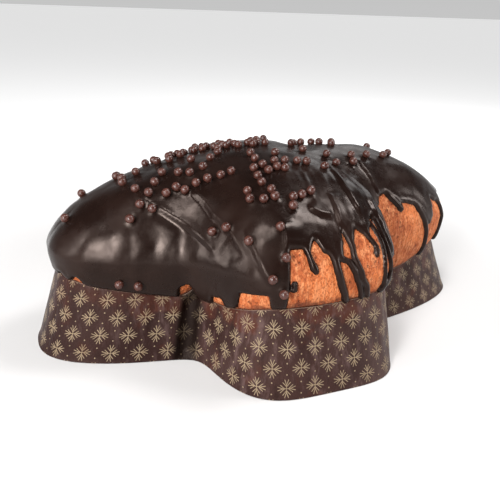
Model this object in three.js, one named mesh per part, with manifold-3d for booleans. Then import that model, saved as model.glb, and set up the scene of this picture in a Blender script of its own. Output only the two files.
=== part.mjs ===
// A one-kilogram colomba: a dove-shaped Easter cake in its paper baking case, poured over with dark chocolate and
// sprinkled with crunchy chocolate pearls. Millimetres, +Z up, the tail towards -X and the head towards +X, with the
// origin under the middle of the case. Everything is worked out round the vertical axis: an angle names a direction,
// and a level names how far down the loaf's skin a point lies.
import * as THREE from "three";
import { mergeVertices } from "three/addons/utils/BufferGeometryUtils.js";
import Module from "manifold-3d";

// The case.
const LENGTH = 300; // tail to head, at the base
const WING_SPAN = 211; // wing tip to wing tip, at the base
const CASE_HEIGHT = 51;
const PAPER = 0.8; // paper and its glued overlap
const TAIL_HALF_WIDTH = 50;
const HEAD_HALF_WIDTH = 48;
const WING_TAIL_SIDE = 62; // a wing reaches this far towards the tail, and less towards the head
const WING_HEAD_SIDE = 52;
const TAIL_SQUARENESS = 2.6; // 2 is an ellipse, more is squarer
const HEAD_SQUARENESS = 2.1;
const WING_SQUARENESS = 4;
const CORNER_TIGHTNESS = 9; // how sharply the paper turns in between two lobes
const TAIL_LEAN = 15.5; // the rim stands this far in from the base, drawn in by the baked dough
const HEAD_LEAN = 20;
const BODY_SIDE_LEAN = 5;
const WING_LEAN = 11;
const WING_SIDE_LEAN = 5;
const RIM_DIPS = [
  // how far the rim dips on either side of an end, where the dough spills over, then degrees from that end, spread in
  // degrees and squareness; the last one is the peak of the paper's fold between tail and wing
  [17, "head", 26, 19, 2],
  [11.9, "tail", 38, 23.3, 2.6],
  [-5.8, "tail", 36, 3, 2],
];
const RIM_RIPPLE = 0.9; // how unevenly the rim stands

// The loaf.
const GAP = 0.3; // clearance between neighbouring pieces
const CROWN_HEIGHT = 111.5;
const TAIL_STEEPNESS = 1.42; // power of the dome's curve: less is fuller
const HEAD_STEEPNESS = 1.15;
const WING_STEEPNESS = 1.2;
const SHOULDER_RISE = 11; // from the rim up to the widest line of the dough
const VALLEY_FILL = 2.4; // low values fill the valleys between the lobes towards the crown
const TAIL_SWELL = 3.5; // how far the dough swells out over the rim
const FRONT_WING_SWELL = 2;
const BACK_WING_SWELL = 3;
const CORNER_ROUNDNESS = 4; // the dough turns in between tail and wing less sharply than the paper
const CORNER_AT = 37; // degrees from the tail
const CORNER_SPREAD = 17;
const FILL_FROM = 1.8; // power of the valleys' fill: less carries it further down the sides
const HEAD_SWELL = 7;
const LUMPS = [
  // x, y, reach, height of the dough's own uneven swellings
  [-88, -26, 24, 3.5],
  [-30, -70, 26, 1.5],
  [38, -62, 24, 3.5],
  [66, 6, 24, 3],
  [96, -22, 20, 3],
  [94, 12, 42, 4],
  [-122, 0, 28, 5],
  [-54, -38, 30, 4],
  [-54, 38, 30, 4],
  [-46, 8, 22, -2.5],
  [14, 4, 20, -2.5],
  [-28, 66, 26, 3],
  [34, 70, 24, 2.5],
  [-96, 24, 22, 2.5],
];

// The chocolate.
const GLAZE = 2.2;
const GLAZE_EDGE = 0.7; // share of its thickness left at the poured edge
const GLAZE_SUNK = 1.2; // the raw shell reaches this far into the dough before it is cut back
const POUR_EDGE = [
  // angle in degrees, level that the poured glaze reaches
  [0, 0.8], [20, 0.95], [38, 1.5], [62, 1.3], [85, 0.85], [108, 1.2], [138, 1.5], [160, 1.7], [176, 1.78],
  [233, 1.78], [237, 1.7], [240, 1.24], [247.5, 1.22], [249.5, 1.7], [252.5, 1.7], [255, 0.72], [260.5, 0.73],
  [263.5, 0.68], [267, 0.76], [271, 0.8], [275, 0.68], [277, 0.74], [281, 0.64], [285.5, 0.7], [289, 0.62],
  [291.5, 0.6], [294, 0.72], [297, 0.9], [300, 1], [318, 1], [323, 0.8], [326.5, 0.71], [331.5, 0.63],
  [336.8, 0.72], [341, 0.76], [345, 0.97], [348.8, 0.78], [352, 0.84], [357, 0.8],
];
const DRIPS = [
  // width, then angle and level of the places it runs through
  [3.4, [259, 0.68], [260.2, 0.74], [262.5, 0.87]],
  [4.4, [268.3, 0.7], [270.3, 0.87], [274.2, 1.78]],
  [3.3, [270.6, 0.72], [274.8, 0.83], [276.5, 0.91], [280, 1.78]],
  [3.6, [278.6, 0.62], [277, 0.8], [278.8, 0.92], [282.4, 1.78]],
  [2.9, [283.8, 0.64], [286.8, 0.76], [286, 0.82]],
  [2.6, [288.6, 0.6], [290, 0.77], [288.6, 0.93], [289.6, 1.78]],
  [3.2, [292.2, 0.62], [292.5, 1.02], [291.2, 1.3]],
  [5.5, [291.8, 1.3], [288.5, 1.7]],
  [3.8, [335.2, 0.64], [336.8, 0.77]],
  [4, [342.6, 0.8], [344.6, 1.1], [345.4, 1.55], [345, 1.75]],
  [3.6, [351.6, 0.78], [351.8, 1], [350.6, 1.55]],
  [4, [358, 0.68], [359.5, 1.1]],
  [4.4, [8, 0.78], [7, 1.5]],
  [4, [16, 0.85], [15, 1.3]],
  [4.4, [66, 1.1], [65, 1.5]],
  [3.8, [76, 0.85], [75, 1.3]],
  [4.2, [84, 0.75], [84, 1.5]],
  [3.6, [93, 0.8], [94, 1.2]],
  [4.4, [101, 0.95], [102, 1.5]],
];
const FOLDS = [
  // thick runs in the glaze: height of the step, breadth of the run behind it, then the places along its edge
  [1.5, 9, [191, 0.5], [202.8, 0.6], [215, 0.71], [222.8, 0.77], [230, 0.83]],
  [1.3, 8, [204, 0.45], [216.5, 0.56], [227.8, 0.64], [236.5, 0.72], [242, 0.8]],
  [1.1, 7, [237.5, 0.61], [243, 0.74], [246.5, 0.87], [249, 0.96]],
  [0.9, 6, [252, 0.56], [253, 0.74]],
  [1, 6, [263.2, 0.5], [268.2, 0.55], [274.2, 0.57]],
  [0.9, 5, [278, 0.42], [276.8, 0.49], [274.8, 0.63]],
  [1.1, 7, [315.8, 0.25], [295.8, 0.31], [289, 0.41], [285, 0.6]],
  [1.2, 8, [330.2, 0.37], [305, 0.48], [294.8, 0.55], [292, 0.7]],
  [1.1, 7, [345, 0.32], [338, 0.4], [331, 0.55], [329.2, 0.68]],
  [1.4, 9, [40, 0.3], [52, 0.55], [62, 0.8]],
  [1.3, 9, [95, 0.3], [108, 0.6], [118, 0.9]],
  [1.3, 9, [150, 0.4], [140, 0.6], [136, 0.85]],
];

// The pearls.
const PEARL_RADIUS = 2.6;
const PEARL_SUNK = 0.7; // how deep each sits in the glaze
const PEARL_TOUCHING = 0.4; // share that lies against another
const PEARL_SEED = 11;
const PEARL_FACETED = 1.08; // the faceted ball is larger by this much, so that it has the true size on average
const PEARL_FIELDS = [
  // x, y and half-sizes of the ovals strewn with pearls, and how many
  [-70, 22, 40, 16, 11],
  [-18, 18, 40, 16, 15],
  [46, 16, 44, 16, 13],
  [-10, 60, 34, 20, 8],
  [30, 84, 14, 8, 3],
];
const LAID_PEARLS = [
  // angle and level of the others
  [173, 0.34], [175, 0.3], [186, 0.25], [193, 0.22], [184, 0.16], [200, 0.31], [199, 0.36], [195, 0.36],
  [190, 0.37], [179, 0.41], [184, 0.47], [175, 0.48], [179.5, 0.46], [193.5, 0.44], [191.5, 0.49], [196, 0.51],
  [200, 0.5], [201, 0.46], [205, 0.48], [207, 0.44], [210, 0.41], [215, 0.38], [219, 0.34], [196.5, 0.57],
  [200, 0.59], [197, 0.65], [226, 0.7], [233, 0.66], [242, 0.7], [251, 0.61], [252.5, 0.77], [249, 0.9],
  [252, 1.06], [198.8, 1.4], [202.6, 1.4], [237, 0.44], [239.3, 0.48], [243, 0.37], [248, 0.41], [249.5, 0.45],
  [245, 0.47], [257.5, 0.45], [262, 0.44], [256.5, 0.5], [268, 0.42], [235, 0.28], [246, 0.28], [251, 0.2],
  [252.5, 0.25], [262, 0.2], [258.5, 0.26], [215, 0.15], [255, 0.12], [275, 0.21], [284, 0.22], [335, 0.24],
  [293, 0.28], [324, 0.33], [338, 0.35], [350, 0.34], [354, 0.4], [358, 0.43], [183, 0.73], [173, 0.64],
  [241, 0.24], [240, 0.33], [230, 0.2], [334, 0.14], [345, 0.3], [80, 0.82], [120, 0.95], [60, 0.7],
];

// Fineness of the solids.
const COLUMNS = 94;
const WALL_RINGS = 2;
const SKIN_LEVELS = [1.78, 1.52, 1.26, 1, 0.86, 0.73, 0.6, 0.46, 0.3, 0.14];

const TURN = 2 * Math.PI;
const radians = THREE.MathUtils.degToRad;
const { cos, sin, abs, hypot } = Math;

// Superellipse seen from its middle.
const superRadius = (angle, a, b, power) =>
  ((abs(cos(angle)) / a) ** power + (abs(sin(angle)) / b) ** power) ** (-1 / power);

// The tail-to-head lobe and the wing-to-wing lobe together, a share of the way up the wall. A lower tightness fills
// the corners between them more.
function crossRadius(angle, share, tightness) {
  const towardsHead = (1 + cos(angle)) / 2;
  const between = (tail, head) => tail + (head - tail) * towardsHead;
  const body = superRadius(
    angle,
    LENGTH / 2 - share * between(TAIL_LEAN, HEAD_LEAN),
    between(TAIL_HALF_WIDTH, HEAD_HALF_WIDTH) - share * BODY_SIDE_LEAN,
    between(TAIL_SQUARENESS, HEAD_SQUARENESS),
  );
  const wings = superRadius(
    angle,
    between(WING_TAIL_SIDE, WING_HEAD_SIDE) - share * WING_SIDE_LEAN,
    WING_SPAN / 2 - share * WING_LEAN,
    WING_SQUARENESS,
  );
  return (body ** tightness + wings ** tightness) ** (1 / tightness);
}

// Along the tail-head line by cos², across it by sin².
function byLobe(angle, tail, head, frontWing, backWing) {
  const ends = (tail + head) / 2 + ((head - tail) / 2) * cos(angle);
  const wings = (frontWing + backWing) / 2 + ((backWing - frontWing) / 2) * sin(angle);
  return ends * cos(angle) ** 2 + wings * sin(angle) ** 2;
}

const fromHeadLine = (angle) => THREE.MathUtils.radToDeg(abs(Math.atan2(sin(angle), cos(angle))));

function rimHeight(angle) {
  const away = { head: fromHeadLine(angle), tail: 180 - fromHeadLine(angle) };
  const dip = RIM_DIPS.reduce((sum, [depth, end, place, spread, power]) =>
    sum + depth * Math.exp(-((abs(away[end] - place) / spread) ** power)), 0);
  return CASE_HEIGHT - dip + RIM_RIPPLE * (sin(5 * angle + 0.8) * 0.6 + sin(9 * angle) * 0.4 - 1);
}

// A point of the wall's plan, a share of the way up and moved square to the outline.
function plan(angle, share, outwards) {
  const on = (a) => new THREE.Vector2(cos(a), sin(a)).multiplyScalar(crossRadius(a, share, CORNER_TIGHTNESS));
  const along = on(angle + 0.01).sub(on(angle - 0.01)).normalize();
  return on(angle).add(new THREE.Vector2(along.y, -along.x).multiplyScalar(outwards));
}
const wallPoint = (angle, share, outwards, height) => {
  const at = plan(angle, share, outwards);
  return new THREE.Vector3(at.x, at.y, height);
};

// The widest line of the dough in plan, swollen out over the rim.
function widestPoint(angle) {
  const outwards = byLobe(angle, TAIL_SWELL, HEAD_SWELL, FRONT_WING_SWELL, BACK_WING_SWELL) - PAPER - GAP;
  const corner = Math.exp(-(((180 - fromHeadLine(angle) - CORNER_AT) / CORNER_SPREAD) ** 4));
  const round = new THREE.Vector2(cos(angle), sin(angle));
  return plan(angle, 1, outwards).lerp(round.setLength(crossRadius(angle, 1, CORNER_ROUNDNESS) + outwards), corner);
}

const lumpHeight = (x, y) =>
  LUMPS.reduce((sum, [cx, cy, reach, height]) =>
    sum + height * Math.exp(-((x - cx) ** 2 + (y - cy) ** 2) / (2 * (reach / 2) ** 2)), 0);

// A point of the dough's skin above the rim: level 0 is the crown, 1 the widest line, 2 just over the rim.
function skin(angle, level) {
  const shoulder = CASE_HEIGHT + SHOULDER_RISE;
  if (level > 1) {
    const turn = (2 - level) * (Math.PI / 2);
    const foot = rimHeight(angle) + GAP;
    const height = foot + (shoulder - foot) * (1 - cos(turn));
    const { x, y } = plan(angle, 1, -PAPER - GAP).lerp(widestPoint(angle), sin(turn));
    return new THREE.Vector3(x, y, height);
  }
  const widest = widestPoint(angle);
  const filled = widest.clone().setLength(crossRadius(angle, 1, VALLEY_FILL));
  const turn = level * (Math.PI / 2);
  const { x, y } = widest.lerp(filled, abs(cos(turn)) ** FILL_FROM).multiplyScalar(sin(turn));
  const steepness = byLobe(angle, TAIL_STEEPNESS, HEAD_STEEPNESS, WING_STEEPNESS, WING_STEEPNESS);
  const dome = (CROWN_HEIGHT - shoulder) * cos(turn) ** steepness;
  return new THREE.Vector3(x, y, shoulder + dome + lumpHeight(x, y) * cos(turn));
}

// The outward normal of the skin, from two short steps along it.
function skinNormal(angle, level) {
  if (level < 0.03) return new THREE.Vector3(0, 0, 1);
  const step = 0.01;
  const round = skin(angle + step, level).sub(skin(angle - step, level));
  const down = skin(angle, Math.min(2, level + step)).sub(skin(angle, level - step));
  return down.cross(round).normalize();
}

const raised = (angle, level, height) =>
  skin(angle, level).addScaledVector(skinNormal(angle, level), height);

// Angles at even steps along the base outline.
function evenAngles(count) {
  const fine = 3600;
  const lengths = [0];
  for (let i = 1; i <= fine; i++) {
    const before = plan(((i - 1) / fine) * TURN, 0, 0);
    lengths.push(lengths[i - 1] + plan((i / fine) * TURN, 0, 0).distanceTo(before));
  }
  const angles = [];
  for (let k = 0, i = 0; k < count; k++) {
    while (lengths[i] < (k / count) * lengths[fine]) i++;
    angles.push((i / fine) * TURN);
  }
  return angles;
}
const ANGLES = evenAngles(COLUMNS);
const ring = (place) => ANGLES.map(place);

// A closed skin over rings of points, from a first point to a last one. Quads are split the same way on rising and
// falling faces, so that neighbouring walls stay parallel.
function loft(first, rings, last) {
  const points = [first, ...rings.flat(), last];
  const count = rings[0].length;
  const faces = [];
  const face = (...corners) => {
    const meets = (i, j) => points[corners[i]].distanceTo(points[corners[j]]) < 1e-6;
    if (!meets(0, 1) && !meets(1, 2) && !meets(2, 0)) faces.push(...corners);
  };
  for (let k = 0; k < count; k++) {
    const next = (k + 1) % count;
    face(0, 1 + next, 1 + k);
    for (let j = 0; j + 1 < rings.length; j++) {
      const [from, to] = [1 + j * count, 1 + (j + 1) * count];
      const rises = rings[j][k].z < rings[j + 1][k].z;
      const [a, b, c, d] = [from + k, from + next, to + next, to + k];
      face(a, b, rises ? c : d);
      face(rises ? a : b, c, d);
    }
    const top = 1 + (rings.length - 1) * count;
    face(top + k, top + next, points.length - 1);
  }
  return new THREE.BufferGeometry().setFromPoints(points).setIndex(faces);
}

// The wall up to a share of its height, from a lowest height to the rim's or just over it.
const wallRing = (share, outwards, lowest, over) =>
  ring((a) => wallPoint(a, share, outwards, lowest * (1 - share) + (rimHeight(a) + over) * share));

// The case: up the outside, over the rim, down the inside to the floor.
function caseGeometry() {
  const shares = Array.from({ length: WALL_RINGS + 1 }, (_, i) => i / WALL_RINGS);
  const outside = shares.map((share) => wallRing(share, 0, 0, 0));
  const inside = shares.map((share) => wallRing(share, -PAPER, PAPER, 0)).reverse();
  return loft(new THREE.Vector3(0, 0, 0), [...outside, ...inside], new THREE.Vector3(0, 0, PAPER));
}

// The room that the glaze leaves round the case.
function caseRoomGeometry() {
  const walls = [0, 0.5, 1].map((share) => wallRing(share, GAP, 0, GAP));
  return loft(new THREE.Vector3(0, 0, 0), walls, new THREE.Vector3(0, 0, CASE_HEIGHT));
}

// The loaf fills the case and swells out over its rim. Grown by a clearance, it is the cutter for the glaze.
function loafGeometry(growth) {
  const outwards = growth - PAPER - GAP;
  const wall = (share) => wallRing(share, outwards, PAPER + GAP - growth, GAP - growth);
  const level = (l) => ring((a) => raised(a, l, growth));
  return loft(
    new THREE.Vector3(0, 0, PAPER + GAP - growth),
    [wall(0), wall(0.5), wall(1), ...SKIN_LEVELS.map(level)],
    raised(0, 0, growth),
  );
}

// The level that the pour reaches at an angle: smooth steps between the named places.
function pourLevel(angle) {
  const degrees = ((THREE.MathUtils.radToDeg(angle) % 360) + 360) % 360;
  const after = POUR_EDGE.findIndex(([a]) => a > degrees);
  const [a1, l1] = after < 0 ? [360, POUR_EDGE[0][1]] : POUR_EDGE[after];
  const [a0, l0] = POUR_EDGE[(after < 0 ? POUR_EDGE.length : after) - 1];
  return l0 + (l1 - l0) * THREE.MathUtils.smoothstep(degrees, a0, a1);
}

// A run's places as a line of points that follows the skin.
function runLine(places, pieces = 5) {
  const points = [];
  for (let i = 0; i + 1 < places.length; i++) {
    const [[a0, l0], [a1, l1]] = [places[i], places[i + 1]];
    for (let k = 0; k < pieces; k++) points.push(skin(radians(a0 + ((a1 - a0) * k) / pieces), l0 + ((l1 - l0) * k) / pieces));
  }
  const [angle, level] = places[places.length - 1];
  return [...points, skin(radians(angle), level)];
}
const FOLD_LINES = FOLDS.map(([height, breadth, ...places]) => [height, breadth, runLine(places)]);

// Extra thickness where a run of glaze has set as a fold: a step along the run's edge, easing off behind it.
function foldHeight(point) {
  return FOLD_LINES.reduce((most, [height, breadth, line]) => {
    let [least, behind] = [Infinity, 0];
    for (let i = 0; i + 1 < line.length; i++) {
      const near = new THREE.Line3(line[i], line[i + 1]).closestPointToPoint(point, true, new THREE.Vector3());
      const far = near.distanceTo(point);
      if (far >= least) continue;
      const side = (line[i + 1].x - line[i].x) * (point.y - near.y) - (line[i + 1].y - line[i].y) * (point.x - near.x);
      [least, behind] = [far, side > 0 ? far : -far];
    }
    const step = THREE.MathUtils.smoothstep(behind, -1.6, 1.2) * Math.exp(-((Math.max(behind - 1.2, 0) / breadth) ** 2));
    return Math.max(most, height * step);
  }, 0);
}

// The poured glaze: rings down its underside inside the dough, round the edge and back up to the crown. Rings past
// the poured edge stop at it.
function pourGeometry() {
  const rings = (height) => SKIN_LEVELS.map((level) =>
    ring((a) => {
      const reached = Math.min(level, pourLevel(a));
      return raised(a, reached, height(a, reached));
    }));
  const over = rings((a, level) => (GLAZE + foldHeight(skin(a, level))) * (level < pourLevel(a) ? 1 : GLAZE_EDGE));
  const under = rings(() => -GLAZE_SUNK).reverse();
  return loft(raised(0, 0, -GLAZE_SUNK), [...under, ...over], raised(0, 0, GLAZE));
}

// A drip: a flattened bead that follows the skin and ends in a round drop, unless it runs on to the rim.
function dripGeometry([width, ...places]) {
  const sides = 6;
  const steps = places.length < 4 ? 5 : 7;
  const place = (share) => {
    const along = share * (places.length - 1);
    const i = Math.min(Math.floor(along), places.length - 2);
    const [[a0, l0], [a1, l1]] = [places[i], places[i + 1]];
    return [radians(a0 + (a1 - a0) * (along - i)), l0 + (l1 - l0) * (along - i)];
  };
  const ends = place(1);
  const rings = [];
  for (let i = 0; i <= steps; i++) {
    const share = i / steps;
    const [angle, level] = place(share);
    const middle = skin(angle, level);
    const along = skin(...place(Math.min(1, share + 0.02))).sub(skin(...place(Math.max(0, share - 0.02)))).normalize();
    const up = skinNormal(angle, level);
    const across = new THREE.Vector3().crossVectors(up, along).normalize();
    const drop = share > 0.7 && ends[1] < 1.7 ? 1 + 0.35 * sin(((share - 0.7) / 0.3) * Math.PI) : 1;
    const half = (width / 2) * (i === steps ? 0.7 : drop);
    rings.push(Array.from({ length: sides }, (_, k) => {
      const turn = (k / sides) * TURN;
      return middle.clone().addScaledVector(across, half * cos(turn)).addScaledVector(up, 0.9 * half * sin(turn));
    }));
  }
  return loft(skin(...place(0)), rings, skin(ends[0], ends[1] + 0.02));
}

// A repeatable draw between 0 and 1.
function drawer(seed) {
  let state = seed;
  return () => {
    state = (state * 16807) % 2147483647;
    return state / 2147483647;
  };
}

// Level of the skin over a point of the plan, by halving.
function levelAt(angle, radius) {
  let [low, high] = [0, 1];
  for (let i = 0; i < 30; i++) {
    const middle = (low + high) / 2;
    const p = skin(angle, middle);
    if (hypot(p.x, p.y) < radius) low = middle;
    else high = middle;
  }
  return low;
}

// Pearls strewn over the crown, some on their own and some against another.
function pearlPlaces() {
  const draw = drawer(PEARL_SEED * 7919);
  const apart = 2 * PEARL_RADIUS;
  const placed = LAID_PEARLS.map(([angle, level]) => [radians(angle), level]);
  const taken = placed.map(([angle, level]) => skin(angle, level));
  const laid = [];
  for (const [cx, cy, rx, ry, count] of PEARL_FIELDS) {
    const inField = (x, y) => ((x - cx) / rx) ** 2 + ((y - cy) / ry) ** 2 < 1;
    const first = laid.length;
    for (let tries = 0; laid.length < first + count && tries < 5000; tries++) {
      const turn = draw() * TURN;
      const out = draw() ** 0.6;
      let [x, y] = [cx + rx * out * cos(turn), cy + ry * out * sin(turn)];
      if (laid.length > first + 3 && draw() < PEARL_TOUCHING) {
        const [bx, by] = laid[first + Math.floor(draw() * (laid.length - first))];
        [x, y] = [bx + apart * 1.04 * cos(turn), by + apart * 1.04 * sin(turn)];
      }
      const clear = taken.every((p) => hypot(p.x - x, p.y - y) > apart * 1.15);
      if (clear && inField(x, y) && laid.every(([px, py]) => hypot(px - x, py - y) > apart)) laid.push([x, y]);
    }
  }
  const strewn = laid.map(([x, y]) => {
    const angle = Math.atan2(y, x);
    return [angle, levelAt(angle, hypot(x, y))];
  });
  return [...strewn, ...placed];
}

function pearlGeometry([angle, level]) {
  const lift = GLAZE + foldHeight(skin(angle, level)) + PEARL_RADIUS - PEARL_SUNK;
  const at = raised(angle, level, lift);
  const pointUp = Math.atan(2 / (1 + Math.sqrt(5)));
  return new THREE.IcosahedronGeometry(PEARL_RADIUS * PEARL_FACETED).rotateX(pointUp).translate(at.x, at.y, at.z);
}

// Booleans: geometry to solid and back.
const wasm = await Module();
wasm.setup();

function solidOf(geometry) {
  const bare = geometry.clone().deleteAttribute("normal").deleteAttribute("uv");
  const merged = mergeVertices(bare, 1e-3);
  return new wasm.Manifold(new wasm.Mesh({
    numProp: 3,
    vertProperties: new Float32Array(merged.attributes.position.array),
    triVerts: new Uint32Array(merged.index.array),
  }));
}

function geometryOf(solid) {
  const mesh = solid.getMesh();
  return new THREE.BufferGeometry()
    .setAttribute("position", new THREE.BufferAttribute(mesh.vertProperties, 3))
    .setIndex(new THREE.BufferAttribute(mesh.triVerts, 1));
}

// The glaze with its drips and pearls, cut back to a clearance over the dough and off the paper.
function glazeGeometry() {
  const parts = [pourGeometry(), ...DRIPS.map(dripGeometry), ...pearlPlaces().map(pearlGeometry)];
  const whole = wasm.Manifold.union(parts.map(solidOf));
  const free = whole.subtract(solidOf(loafGeometry(GAP))).subtract(solidOf(caseRoomGeometry()));
  return geometryOf(largestBody(largestBody(free)));
}

// The main body, without loose scraps and sealed hollows, once its vertices are merged.
function largestBody(solid) {
  const bodies = solidOf(geometryOf(solid)).decompose();
  return bodies.sort((a, b) => b.volume() - a.volume())[0];
}

const material = (name, color, roughness) =>
  new THREE.MeshStandardMaterial({ name, color, roughness, metalness: 0 });

const PIECES = {
  paper_case: [caseGeometry(), material("printed_paper", 0x33211f, 0.7)],
  loaf: [loafGeometry(0), material("baked_crust", 0xb5622f, 0.75)],
  glaze: [glazeGeometry(), material("dark_chocolate", 0x2b1d19, 0.3)],
};

const colomba = new THREE.Group();
for (const [name, [geometry, finish]] of Object.entries(PIECES)) {
  const mesh = new THREE.Mesh(geometry, finish);
  mesh.name = name;
  colomba.add(mesh);
}

export default colomba;
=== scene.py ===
import math

import bpy
import numpy as np
from mathutils import Matrix, Vector, kdtree, noise
from numpy.linalg import norm


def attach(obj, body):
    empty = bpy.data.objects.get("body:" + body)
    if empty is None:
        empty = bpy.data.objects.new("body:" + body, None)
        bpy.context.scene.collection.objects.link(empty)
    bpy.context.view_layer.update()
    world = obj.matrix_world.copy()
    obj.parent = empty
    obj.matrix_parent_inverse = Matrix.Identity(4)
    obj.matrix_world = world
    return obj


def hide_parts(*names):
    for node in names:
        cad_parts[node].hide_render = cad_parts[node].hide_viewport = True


# A one-kilogram colomba: a dove-shaped Easter cake in its printed paper case, poured over with dark chocolate and
# sprinkled with chocolate pearls. Shapes are worked out in millimetres round the vertical axis: an angle names a
# direction, a share how far up the paper wall a point lies, and a level how far down the dough's skin, from 0 at the
# crown through 1 at the widest line to 2 just over the rim.

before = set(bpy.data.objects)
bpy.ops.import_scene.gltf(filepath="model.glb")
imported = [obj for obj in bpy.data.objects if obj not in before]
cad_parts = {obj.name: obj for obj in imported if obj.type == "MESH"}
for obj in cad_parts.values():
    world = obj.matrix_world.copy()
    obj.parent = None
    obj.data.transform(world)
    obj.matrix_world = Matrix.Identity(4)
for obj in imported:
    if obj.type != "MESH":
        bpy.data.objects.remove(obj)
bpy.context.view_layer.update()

MM = 0.001
TURN = 2 * math.pi

# ---- camera
CAMERA_PLACE = (-0.14726, -0.33428, 0.19393)
CAMERA_LOOK = (0.34775, 0.85556, -0.38351)
CAMERA_ROLL = 2.01  # degrees
CAMERA_LENS = 42.01  # mm, on a 36 mm sensor


def make_camera():
    look = Vector(CAMERA_LOOK).normalized()
    right = look.cross(Vector((0, 0, 1))).normalized()
    up = right.cross(look)
    facing = Matrix((right, up, -look)).transposed() @ Matrix.Rotation(math.radians(CAMERA_ROLL), 3, "Z")
    camera = bpy.data.cameras.new("camera")
    camera.lens = CAMERA_LENS
    camera.sensor_width = 36
    camera.clip_start = 0.01
    held = bpy.data.objects.new("camera", camera)
    held.matrix_world = Matrix.Translation(CAMERA_PLACE) @ facing.to_4x4()
    bpy.context.scene.collection.objects.link(held)
    bpy.context.scene.camera = held


make_camera()

# ---- measures of the case
LENGTH = 300
WING_SPAN = 211
CASE_HEIGHT = 51
TAIL_HALF_WIDTH, HEAD_HALF_WIDTH = 50, 48
WING_TAIL_SIDE, WING_HEAD_SIDE = 62, 52
TAIL_SQUARENESS, HEAD_SQUARENESS, WING_SQUARENESS = 2.6, 2.1, 4
CORNER_TIGHTNESS = 9
TAIL_LEAN, HEAD_LEAN, BODY_SIDE_LEAN, WING_LEAN, WING_SIDE_LEAN = 15.5, 20, 5, 11, 5
RIM_DIPS = [  # how far the rim dips, then degrees from the tail or head line, spread in degrees and squareness
    (17, "head", 26, 19, 2.0),
    (11.9, "tail", 38, 23.3, 2.6),
    (-5.8, "tail", 36, 3.0, 2.0),
]
RIM_RIPPLE = 0.9
CHANNEL_DEPTH, CHANNEL_HALF_WIDTH = 3.2, 6.5  # the channels that the paper makes where it turns in
CHANNEL_SHIFT = 6.5  # at the tail they lie on the tail's side of the corner
CREASES = [  # place along the wall in degrees, width, depth, lowest and highest share
    (262, 3, 0.5, -0.2, 0.7), (268, 2, 0.45, -0.2, 0.6), (284, 3.5, 0.6, 0.2, 1.2), (287, 2, 0.5, 0, 1.2),
    (292, 2.5, 0.5, 0.1, 1.2), (205, 4, 0.5, 0.2, 1.2), (186, 4, 0.5, -0.2, 0.8), (245, 4, 0.4, 0.3, 1.2),
    (75, 3, 0.5, -0.2, 0.8), (104, 3, 0.5, 0.2, 1.2), (20, 3.5, 0.5, -0.2, 0.7), (340, 3.5, 0.5, 0.1, 1.2),
    (150, 3.5, 0.5, -0.2, 0.9),
]
CREASE_FADE = 0.25  # share of the wall over which a crease fades out
LOOSE_PART = (278, 296, 318, 326)  # degrees between which the wall's wrinkles deepen and ease again
FLARE, FLARE_AT, FLARE_SPREAD = 2.2, 314, 11  # how far the rim stands out, and where in degrees
MOST_PRESSED = 1.8  # outside the channels
PAPER = 0.55  # thickness of the paper
ROOM = 1.1  # from the outside of the paper to the dough

# ---- measures of the dough
CROWN_HEIGHT = 111.5
TAIL_STEEPNESS, HEAD_STEEPNESS, WING_STEEPNESS = 1.42, 1.15, 1.2
SHOULDER = CASE_HEIGHT + 11
VALLEY_FILL = 2.4
FILL_FROM = 1.8  # power of the cosine down the skin: less carries the fill further down the sides
TAIL_SWELL, HEAD_SWELL, FRONT_WING_SWELL, BACK_WING_SWELL = 3.5, 7, 2, 3
CORNER_ROUNDNESS = 4  # the dough turns in between tail and wing less sharply than the paper
CORNER_AT, CORNER_SPREAD = 37, 17  # degrees from the tail
FOOT_GAP = 0.3  # from the rim up to the dough that swells over it
LUMPS = [  # x, y, reach, height
    (-88, -26, 24, 3.5), (-30, -70, 26, 1.5), (38, -62, 24, 3.5), (66, 6, 24, 3), (96, -22, 20, 3), (94, 12, 42, 4),
    (-122, 0, 28, 5), (-54, -38, 30, 4), (-54, 38, 30, 4), (-46, 8, 22, -2.5), (14, 4, 20, -2.5), (-28, 66, 26, 3),
    (34, 70, 24, 2.5), (-96, 24, 22, 2.5),
]

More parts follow.
